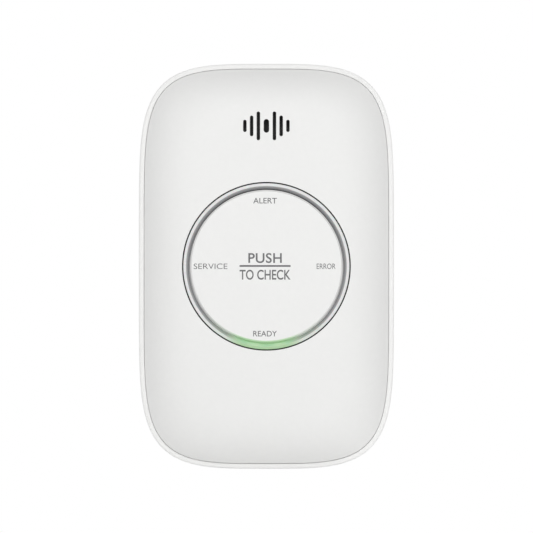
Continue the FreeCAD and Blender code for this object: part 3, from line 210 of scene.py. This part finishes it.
def moulded(name, colour, roughness=0.55, grain=0.010 * MM, grain_scale=3200.0):
    """Spark-textured injection moulding: fine grain, faint clouding, sharp edges a little darker in
    patches.
    """
    s = Shader(name, colour, roughness)
    dark_edges = s.soften(0.2 * MM, 0.5)
    # the colour is darkened a little on sharp edges, in patches
    s.paint(s.mix(dark_edges, s.clouded(0.006, 700.0), tuple(c * 0.86 for c in colour)))
    s.vary_gloss(0.05, 1500.0)
    s.bump(s.noise(grain_scale, 3.0), grain)
    return s.material


def metal(name, colour, roughness=0.3):
    """Plated or drawn metal: slightly clouded, with fine directional marks."""
    s = Shader(name, colour, roughness, 1.0, 0.5)
    s.paint(s.clouded(0.08, 500.0))
    s.vary_gloss(0.08, 900.0)
    s.bump(s.noise(2500.0, 2.0, (1, 1, 8)), 0.006 * MM)
    return s.material


def around_ring(s):
    """Distance from the button's axis, and turn about it from straight down."""
    x, _, z = s.axes()
    squares = s.math("ADD", s.math("MULTIPLY", x, x), s.math("MULTIPLY", z, z))
    radius = s.math("SQRT", squares)
    turn = s.math("ARCTAN2", x, s.math("MULTIPLY", z, -1.0))
    return radius, turn


GLOW_TURN = -0.03  # the lit lamp sits a little off straight down, in radians


def lamp_share(s, turn):
    """How strongly the lit lamp at the bottom shows, by the turn from straight down."""
    away = s.math("ABSOLUTE", s.math("SUBTRACT", turn, GLOW_TURN))
    glow = s.span(away, 0.26, 0.60, 1.0, 0.0, smooth=True)
    # painted light: a faint green reaching further round than the main glow
    faint_glow = s.span(away, 0.5, 0.95, 0.2, 0.0, smooth=True)
    return s.math("MAXIMUM", glow, faint_glow)


FLUTES = 360.0
LIT_SPOTS = 21.0
LAMP_GREEN = (0.30, 0.62, 0.26)
LAMP_STRENGTH = 0.1


def lit_ring(name, colour):
    """Frosted guide: painted shade on the inner slope, pale band, a thin line of painted shadow in
    the outer gap, green glow at the bottom.
    """
    s = Shader(name, colour, 0.4, specular=0.4)
    radius, turn = around_ring(s)
    outer = s.span(radius, band_from, band_to, smooth=True)
    # painted shade on the inner slope: dark grey next to the bore, lighter outwards
    slope_shade = s.mix(s.span(radius, bore_radius, slope_end), (0.22, 0.22, 0.225), (0.36, 0.36, 0.365))
    clear = s.mix(outer, slope_shade, s.clouded(0.03, 900.0, (0.79, 0.79, 0.79)))
    flute = s.math("SINE", s.math("MULTIPLY", turn, FLUTES))
    spots = s.math("COSINE", s.math("MULTIPLY", turn, LIT_SPOTS))
    lit_slope = s.mix(s.span(spots, -1.0, 1.0), (0.55, 0.72, 0.50), (0.43, 0.65, 0.43))
    lit = s.mix(outer, lit_slope, (0.40, 0.585, 0.35))
    glow = lamp_share(s, turn)
    # painted shadow: near black beyond the ring's outer edge, where the gap lies
    shade = s.span(radius, gap_shadow_from, gap_shadow_to)
    s.paint(s.mix(shade, s.mix(glow, clear, lit), (0.035, 0.035, 0.036)))
    s.feed(s.base.inputs["Emission Color"], LAMP_GREEN)
    inside = s.math("SUBTRACT", 1.0, shade)
    strength = s.math("MULTIPLY", inside, s.math("MULTIPLY", glow, LAMP_STRENGTH))
    s.feed(s.base.inputs["Emission Strength"], strength)
    s.base.inputs["Subsurface Weight"].default_value = 0.12
    s.base.inputs["Subsurface Scale"].default_value = 0.4 * MM
    s.bump(flute, 0.010 * MM)
    return s.material


def lit_lip(name):
    """Soft lip between the button and the ring: painted shade above, painted light below, and the
    lamp's green painted on at the bottom.
    """
    s = Shader(name, (0.3, 0.3, 0.3), 0.6)
    radius, turn = around_ring(s)
    height = s.math("DIVIDE", s.axes()[2], radius)
    # painted shade and light: dark near the top of the gap, pale near the bottom
    lip_light_and_shade = s.mix(s.span(height, -0.75, 0.8), (0.80, 0.80, 0.80), (0.10, 0.10, 0.105))
    s.paint(s.mix(lamp_share(s, turn), lip_light_and_shade, (0.50, 0.82, 0.45)))
    s.bump(s.noise(2500.0, 2.0), 0.005 * MM)
    return s.material


def button_cap(name, colour):
    """Satin cap: fine grain, painted shade on the rounded edge, and the lamp's green painted on the
    edge at the bottom as painted light.
    """
    s = Shader(name, colour, 0.5)
    radius, turn = around_ring(s)
    edge = s.span(radius, edge_from, edge_to, smooth=True)
    # painted light: the lamp's green on the cap's edge towards the bottom
    share = s.math("MULTIPLY", edge, lamp_share(s, turn))
    away = s.math("ABSOLUTE", s.math("SUBTRACT", radius, edge_shade_radius))
    # painted shade: the cap's colour darkened in a band on its rounded edge
    cap_edge_shade = s.span(away, 0.0, EDGE_SHADE_REACH, 0.8, 0.0, smooth=True)
    shaded_cap = s.mix(cap_edge_shade, s.clouded(0.006, 700.0), tuple(c * 0.72 for c in colour))
    s.paint(s.mix(share, shaded_cap, (0.50, 0.74, 0.45)))
    s.vary_gloss(0.05, 1500.0)
    s.bump(s.noise(3600.0, 3.0), 0.008 * MM)
    return s.material


FRAME_INSET = 1.4 * MM
FRAME_HALF_LINE = 0.12 * MM
PRINT_INSET = 1.3 * MM
ROW_PITCH = 1.5 * MM
ROW_HALF_LINE = 0.06 * MM
ROW_INSET = 4 * MM
HEADING_INSET = 2.9 * MM
HEADING_HALF = 0.7 * MM


def label_film(name, colour):
    """Blank rating label: a printed frame, empty ruled rows and a grey heading bar."""
    s = Shader(name, colour, 0.35, specular=0.5)
    x, _, z = s.axes()
    middle = (label_low + label_high) / 2
    half = (label_high - label_low) / 2
    across = s.math("ABSOLUTE", s.math("SUBTRACT", x, middle.x))
    up = s.math("SUBTRACT", z, middle.z)
    away = s.math("ABSOLUTE", up)
    frame_x = s.math("COMPARE", across, half.x - FRAME_INSET, FRAME_HALF_LINE)
    frame_z = s.math("COMPARE", away, half.z - FRAME_INSET, FRAME_HALF_LINE)
    inside_x = s.math("LESS_THAN", across, half.x - PRINT_INSET)
    inside_z = s.math("LESS_THAN", away, half.z - PRINT_INSET)
    sides = s.math("MULTIPLY", frame_x, inside_z)
    ends = s.math("MULTIPLY", frame_z, inside_x)
    step = s.math("SUBTRACT", s.math("PINGPONG", up, ROW_PITCH), ROW_PITCH / 2)
    row = s.math("LESS_THAN", s.math("ABSOLUTE", step), ROW_HALF_LINE)
    row = s.math("MULTIPLY", row, s.math("LESS_THAN", away, half.z - ROW_INSET))
    heading = s.math("COMPARE", up, half.z - HEADING_INSET, HEADING_HALF)
    lines = s.math("MULTIPLY", s.math("MAXIMUM", row, heading), inside_x)
    marks = s.math("MAXIMUM", s.math("MAXIMUM", sides, ends), lines)
    s.paint(s.mix(marks, s.clouded(0.02, 200.0), (0.22, 0.23, 0.25)))
    s.vary_gloss(0.08, 400.0)
    s.bump(s.noise(600.0, 3.0), 0.010 * MM)
    return s.material


def drawn_can(name, colour):
    """Drawn aluminium with fine marks from the drawing tool."""
    s = Shader(name, colour, 0.3, 1.0, 0.5)
    s.paint(s.clouded(0.06, 400.0))
    s.vary_gloss(0.1, 1200.0)
    s.bump(s.noise(900.0, 2.0, (1, 12, 1)), 0.008 * MM)
    return s.material


def ink(name, colour):
    """Matt printing ink, a little uneven in density."""
    s = Shader(name, colour, 0.6)
    s.paint(s.clouded(0.05, 1800.0))
    s.bump(s.noise(4000.0, 2.0), 0.003 * MM)
    return s.material


def circuit_board(name, colour):
    """Green solder mask with slightly lighter tracks beneath."""
    s = Shader(name, colour, 0.35, specular=0.5)
    tracks = s.add("ShaderNodeTexVoronoi", Vector=s.stretched((1, 0.001, 1)), Scale=260.0)
    tracks.feature = "DISTANCE_TO_EDGE"
    line = s.span(tracks.outputs["Distance"], 0.04, 0.07, 1.0, 0.0)
    lighter = tuple(c * 1.8 + 0.01 for c in colour)
    s.paint(s.mix(line, s.clouded(0.15, 120.0), lighter))
    s.bump(line, 0.020 * MM)
    return s.material


BAND_SHARE = 0.55
BAND_HALF_EDGE = 0.25 * MM


def cell_wrap(name, colour):
    """Printed sleeve: dark body, copper-coloured band at the positive end, pale edge between."""
    s = Shader(name, colour, 0.3, 0.2, 0.5)
    x, _, z = s.axes()
    side = s.math("SIGN", s.math("SUBTRACT", z, bay_z))
    along = s.math("MULTIPLY", x, side)
    band_start = cell_high.x * BAND_SHARE
    band = s.math("GREATER_THAN", along, band_start)
    edge = s.math("COMPARE", along, band_start, BAND_HALF_EDGE)
    fleck = s.span(s.noise(1400.0, 3.0, (1, 6, 6)), 0.55, 0.75, 0.0, 0.25)
    body = s.mix(band, s.clouded(0.04, 90.0), (0.62, 0.33, 0.12))
    body = s.mix(s.math("MULTIPLY", fleck, 0.3), body, (0.5, 0.5, 0.5))
    s.paint(s.mix(edge, body, (0.75, 0.75, 0.75)))
    s.vary_gloss(0.06, 300.0)
    s.bump(s.noise(900.0, 2.0), 0.004 * MM)
    return s.material


def foam(name, colour):
    """Open-celled foam."""
    s = Shader(name, colour, 0.95)
    cells = s.add("ShaderNodeTexVoronoi", Vector=s.place, Scale=2600.0)
    s.paint(s.clouded(0.3, 1200.0))
    s.bump(cells.outputs["Distance"], 0.150 * MM)
    return s.material


THREAD_PITCH = 0.35 * MM


def woven(name, colour):
    """Fine woven cloth or gauze, with a painted highlight on the crowns of the weave."""
    s = Shader(name, colour, 0.8)
    x, _, z = s.axes()
    waves = 2 * math.pi / THREAD_PITCH
    warp = s.math("SINE", s.math("MULTIPLY", x, waves))
    weft = s.math("SINE", s.math("MULTIPLY", z, waves))
    weave = s.math("MULTIPLY", warp, weft)
    # painted highlight: a lighter colour where the threads cross highest
    thread_highlight = tuple(min(0.95, c * 1.2 + 0.06) for c in colour)
    s.paint(s.mix(s.span(weave, -1.0, 1.0), colour, thread_highlight))
    s.bump(weave, 0.060 * MM)
    return s.material


def clear_lamp(name, colour):
    """Tinted lamp body, half clear and unlit."""
    s = Shader(name, colour, 0.15, specular=0.6)
    s.base.inputs["Transmission Weight"].default_value = 0.4
    s.paint(s.clouded(0.1, 1500.0))
    s.bump(s.noise(1500.0, 2.0), 0.005 * MM)
    return s.material


def ceramic(name, colour):
    """Fired ceramic of the sounder's disc."""
    s = Shader(name, colour, 0.3, specular=0.5)
    s.paint(s.clouded(0.04, 600.0))
    s.bump(s.noise(2000.0, 2.0), 0.004 * MM)
    return s.material


MAKERS = {
    "ring_lens": lit_ring,
    "button_plastic": button_cap,
    "label_film": label_film,
    "can_aluminium": drawn_can,
    "board_laminate": circuit_board,
    "battery_wrap": cell_wrap,
    "foam_dark": foam,
    "mesh_black": woven,
    "filter_white": woven,
    "lamp_red": clear_lamp,
    "lamp_green": clear_lamp,
    "lamp_amber": clear_lamp,
    "piezo_white": ceramic,
}
METALS = ("brushed_steel", "brass", "aluminium", "cast_iron")

LIFT = {"housing_plastic": 1.045}  # how much paler a slot is shown than the record's colour

looks = {}
for entry in frame["record"]["materials"]:
    slot = entry["slot"]
    default = metal if entry["class"] in METALS else moulded
    colour = tuple(c * LIFT.get(slot, 1.0) for c in entry["base_color"][:3])
    looks[slot] = MAKERS.get(slot, default)(slot, colour)
for sub in frame["record"]["subparts"]:
    mesh = nodes[sub["node"]].data
    mesh.materials.clear()
    mesh.materials.append(looks[sub["material_slot"]])
looks["ink"] = ink("legend_ink", (0.15, 0.15, 0.155))
looks["lip"] = lit_lip("ring_lip_soft")


# ---- pieces made here ----

def piece(name, mesh, body, look):
    shown = bpy.data.objects.new(name, mesh)
    scene.collection.objects.link(shown)
    mesh.materials.clear()
    mesh.materials.append(look)
    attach(shown, body)
    return shown


def flat_print(name, outlines, y, thick, body, look):
    """A thin raised plate from y forwards, drawn by closed outlines of (x, z) points."""
    print_mesh = bmesh.new()
    for outline in outlines:
        front = [print_mesh.verts.new((x, y - thick, z)) for x, z in outline]
        back = [print_mesh.verts.new((x, y, z)) for x, z in outline]
        print_mesh.faces.new(front)
        print_mesh.faces.new(back[::-1])
        for here in range(len(outline)):
            after = (here + 1) % len(outline)
            print_mesh.faces.new((front[here], back[here], back[after], front[after]))
    bmesh.ops.recalc_face_normals(print_mesh, faces=print_mesh.faces)
    mesh = bpy.data.meshes.new(name)
    print_mesh.to_mesh(mesh)
    print_mesh.free()
    return piece(name, mesh, body, look)


def swept_ring(name, profile, turns, body, look):
    """A closed (radius, y) profile swept around the button's axis."""
    sweep = bmesh.new()
    rows = []
    for step in range(turns):
        turn = 2 * math.pi * step / turns
        rows.append([
            sweep.verts.new((r * math.cos(turn), y, r * math.sin(turn))) for r, y in profile
        ])
    for step, row in enumerate(rows):
        after = rows[(step + 1) % turns]
        for here in range(len(profile)):
            there = (here + 1) % len(profile)
            sweep.faces.new((row[here], row[there], after[there], after[here]))
    bmesh.ops.recalc_face_normals(sweep, faces=sweep.faces)
    mesh = bpy.data.meshes.new(name)
    sweep.to_mesh(mesh)
    sweep.free()
    mesh.shade_smooth()
    return piece(name, mesh, body, look)


def bar(x, z, wide, tall):
    return [
        (x - wide / 2, z - tall / 2), (x + wide / 2, z - tall / 2),
        (x + wide / 2, z + tall / 2), (x - wide / 2, z + tall / 2),
    ]


# soft lip: fills the gap around the cap as a surface for painted shade and light, its front edge a
# half round

LIP_HALF = 0.12 * MM
LIP_DEPTH = 0.9 * MM
LIP_BENDS = 8
LIP_STEPS = 256
lip_front = ring_y + 0.55 * MM
lip_back = lip_front + LIP_DEPTH
lip_profile = [(lip_middle + LIP_HALF, lip_back), (lip_middle - LIP_HALF, lip_back)]
for step in range(LIP_BENDS + 1):
    bend = math.pi * step / LIP_BENDS
    lip_profile.append((
        lip_middle - LIP_HALF * math.cos(bend), lip_front + LIP_HALF * (1 - math.sin(bend)),
    ))
swept_ring("ring_lip", lip_profile, LIP_STEPS, "alarm_case", looks["lip"])

# return springs: round wire wound between the carrier and the button

WIRE_RADIUS = 0.22 * MM
COIL_RADIUS = 2.0 * MM
SPRING_ORBIT = 10.0 * MM
SPRING_ANGLES = (45, 165, 285)
TURNS = 5.5
CLOSED_TURNS = 0.75
TURN_STEPS = 32
WIRE_SIDES = 10


def coil_points(middle_x, middle_z, back_y, front_y):
    """Middle line of a coil along Y whose first and last turns are closed nearly flat."""
    points = []
    for step in range(int(TURNS * TURN_STEPS) + 1):
        turn = step / TURN_STEPS
        if turn < CLOSED_TURNS:
            y = back_y - WIRE_RADIUS * turn / CLOSED_TURNS
        elif turn > TURNS - CLOSED_TURNS:
            y = front_y + WIRE_RADIUS * (TURNS - turn) / CLOSED_TURNS
        else:
            share = (turn - CLOSED_TURNS) / (TURNS - 2 * CLOSED_TURNS)
            y = back_y - WIRE_RADIUS + (front_y - back_y + 2 * WIRE_RADIUS) * share
        x = middle_x + COIL_RADIUS * math.cos(2 * math.pi * turn)
        z = middle_z + COIL_RADIUS * math.sin(2 * math.pi * turn)
        points.append(Vector((x, y, z)))
    return points


def wound(name, paths, radius, slot):
    """Round wire along open paths, closed at both ends."""
    wire = bmesh.new()
    for points in paths:
        rows = []
        for here, point in enumerate(points):
            ahead = points[min(here + 1, len(points) - 1)] - points[max(here - 1, 0)]
            along = ahead.normalized()
            side = along.cross(Vector((0, 1, 0))).normalized()
            up = side.cross(along)
            row = []
            for k in range(WIRE_SIDES):
                turn = 2 * math.pi * k / WIRE_SIDES
                offset = radius * math.cos(turn) * side + radius * math.sin(turn) * up
                row.append(wire.verts.new(point + offset))
            rows.append(row)
        for first, second in zip(rows, rows[1:]):
            for k in range(WIRE_SIDES):
                after = (k + 1) % WIRE_SIDES
                wire.faces.new((first[k], first[after], second[after], second[k]))
        wire.faces.new(rows[0][::-1])
        wire.faces.new(rows[-1])
    bmesh.ops.recalc_face_normals(wire, faces=wire.faces)
    mesh = bpy.data.meshes.new(name)
    wire.to_mesh(mesh)
    wire.free()
    mesh.shade_smooth()
    mesh.materials.append(looks[slot])
    shown = bpy.data.objects.new(name, mesh)
    scene.collection.objects.link(shown)
    return shown


coil_paths = []
for angle in SPRING_ANGLES:
    spring_x = SPRING_ORBIT * math.cos(math.radians(angle))
    spring_z = SPRING_ORBIT * math.sin(math.radians(angle))
    coil_paths.append(coil_points(
        spring_x, spring_z, spring_high.y - WIRE_RADIUS, spring_low.y + WIRE_RADIUS,
    ))
coils = wound("return_coils", coil_paths, WIRE_RADIUS, "spring_steel")
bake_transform(coils)
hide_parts("button_springs")


# ---- legends ----

INK_THICK = 0.04 * MM
MERGE = 0.0002 * MM
ink_back = face_y + INK_THICK / 2


def word(name, text, x, z, wide, tall, weight, spacing=1.0):
    """A generic word printed on the button, fitted to a width and a capital height."""
    half_depth = 0.5
    curve = bpy.data.curves.new(name, "FONT")
    curve.body = text
    curve.space_character = spacing
    curve.offset = weight
    curve.extrude = half_depth
    curve.resolution_u = 6
    drawn = bpy.data.objects.new(name + "_curve", curve)
    scene.collection.objects.link(drawn)
    bpy.context.view_layer.update()
    evaluated = drawn.evaluated_get(bpy.context.evaluated_depsgraph_get())
    mesh = bpy.data.meshes.new_from_object(evaluated)
    bpy.data.objects.remove(drawn)
    mesh.name = name
    across = [v.co.x for v in mesh.vertices]
    up = [v.co.y for v in mesh.vertices]
    left, low = min(across), min(up)
    stretch_x = wide / (max(across) - left)
    stretch_z = tall / (max(up) - low)
    for v in mesh.vertices:
        px = x - wide / 2 + (v.co.x - left) * stretch_x
        pz = z - tall / 2 + (v.co.y - low) * stretch_z
        v.co = (px, ink_back - INK_THICK * (v.co.z + half_depth), pz)
    joined = bmesh.new()
    joined.from_mesh(mesh)
    bmesh.ops.remove_doubles(joined, verts=joined.verts, dist=MERGE)
    bmesh.ops.recalc_face_normals(joined, faces=joined.faces)
    joined.to_mesh(mesh)
    joined.free()
    return piece(name, mesh, "button", looks["ink"])


RULE_WIDE = 15.1 * MM
RULE_TALL = 0.5 * MM
big = 2.95 * MM
small = 1.62 * MM
legend_x = -0.4 * MM
word("legend_push", "PUSH", legend_x, 2.45 * MM, 9.9 * MM, big, 0.012, 1.05)
word("legend_check", "TO CHECK", legend_x, -2.5 * MM, RULE_WIDE, big, 0.012)
flat_print(
    "legend_rule", [bar(legend_x, 0.1 * MM, RULE_WIDE, RULE_TALL)],
    ink_back, INK_THICK, "button", looks["ink"],
)
word("legend_top", "ALERT", legend_x, 19.45 * MM, 7.0 * MM, small, 0.004)
word("legend_bottom", "READY", legend_x, -19.95 * MM, 7.0 * MM, small, 0.004)
word("legend_right", "ERROR", 17.7 * MM, 0.0, 5.6 * MM, small, 0.0)
word("legend_left", "SERVICE", -16.55 * MM, 0.0, 10.0 * MM, small, -0.004)


# ---- raised marks on the battery door ----

panel_y = label_low.y
MARK_ROOT = 0.05 * MM


def raised(name, outlines, height, slot="door_plastic"):
    """Raised mouldings on the back of the door, with softly rounded edges."""
    shown = flat_print(
        name, outlines, panel_y + height, height + MARK_ROOT, "door", looks[slot],
    )
    rounding = shown.modifiers.new("rounding", "BEVEL")
    rounding.width = 0.08 * MM
    rounding.segments = 2
    rounding.limit_method = "ANGLE"
    return shown


nail_z = label_high.z + 5.3 * MM

ARROW_HALF = 1.6 * MM
ARROW_BASE = 1.7 * MM
ARROW_TIP = 3.5 * MM
raised("door_arrow", [[
    (-ARROW_HALF, nail_z - ARROW_BASE), (ARROW_HALF, nail_z - ARROW_BASE), (0, nail_z - ARROW_TIP),
]], 0.2 * MM)

GRIP_ROWS = 5
GRIP_START = 7.0 * MM
GRIP_PITCH = 1.3 * MM
GRIP_WIDE = 0.55 * MM
GRIP_TALL = 3.2 * MM
GRIP_SHRINK = 0.3 * MM
raised("door_grips", [
    bar(side * (GRIP_START + GRIP_PITCH * row), nail_z, GRIP_WIDE, GRIP_TALL - GRIP_SHRINK * row)
    for side in (-1, 1) for row in range(GRIP_ROWS)
], 0.25 * MM)


# ---- camera, light and floor ----

FRAME_WIDTH = 157.93 * MM
CAMERA_REACH = 20
SKY_LIGHT = 0.46
SKY_SEEN = 1.0
FLOOR_HALF = 1.5
FLOOR_DROP = 0.5 * MM

camera_data = bpy.data.cameras.new("camera")
camera_data.type = "ORTHO"
camera_data.ortho_scale = FRAME_WIDTH
camera = bpy.data.objects.new("camera", camera_data)
scene.collection.objects.link(camera)
camera.location = (0.03 * MM, -1, -0.06 * MM)
camera.rotation_euler = (math.pi / 2, 0, 0)
camera_data.clip_end = CAMERA_REACH
scene.camera = camera


def lamp(name, place, size, power, aim=(0, -0.02, 0)):
    data = bpy.data.lights.new(name, "AREA")
    data.shape = "ELLIPSE"
    data.size, data.size_y = size
    data.energy = power
    light = bpy.data.objects.new(name, data)
    scene.collection.objects.link(light)
    light.location = place
    light.rotation_euler = (Vector(aim) - Vector(place)).to_track_quat("-Z", "Y").to_euler()


lamp("front_soft", (0, -1.3, 0.24), (0.5, 2.4), 11.9)
lamp("back_soft", (0.5, 1.2, 0.6), (0.9, 0.9), 8)

world = bpy.data.worlds.new("studio")
scene.world = world
world.use_nodes = True
sky = world.node_tree
background = sky.nodes["Background"]
seen = sky.nodes.new("ShaderNodeLightPath")
level = sky.nodes.new("ShaderNodeMapRange")
sky.links.new(seen.outputs["Is Camera Ray"], level.inputs["Value"])
level.inputs["To Min"].default_value = SKY_LIGHT
level.inputs["To Max"].default_value = SKY_SEEN
sky.links.new(level.outputs["Result"], background.inputs["Strength"])
background.inputs["Color"].default_value = (1, 1, 1, 1)
scene.view_settings.view_transform = "Standard"

floor_z = cad_box[0].z - FLOOR_DROP
signs = ((-1, -1), (1, -1), (1, 1), (-1, 1))
corners = [(x * FLOOR_HALF, y * FLOOR_HALF, floor_z) for x, y in signs]
floor_mesh = bpy.data.meshes.new("floor")
floor_mesh.from_pydata(corners, [], [(0, 1, 2, 3)])
floor = bpy.data.objects.new("floor", floor_mesh)
scene.collection.objects.link(floor)
pale = Shader("floor_pale", (0.9, 0.9, 0.9), 0.8)
pale.paint(pale.clouded(0.01, 3.0))
pale.bump(pale.noise(400.0, 2.0), 0.050 * MM)
pale.base.inputs["Emission Color"].default_value = (1, 1, 1, 1)
pale.base.inputs["Emission Strength"].default_value = 0.1
floor_mesh.materials.append(pale.material)
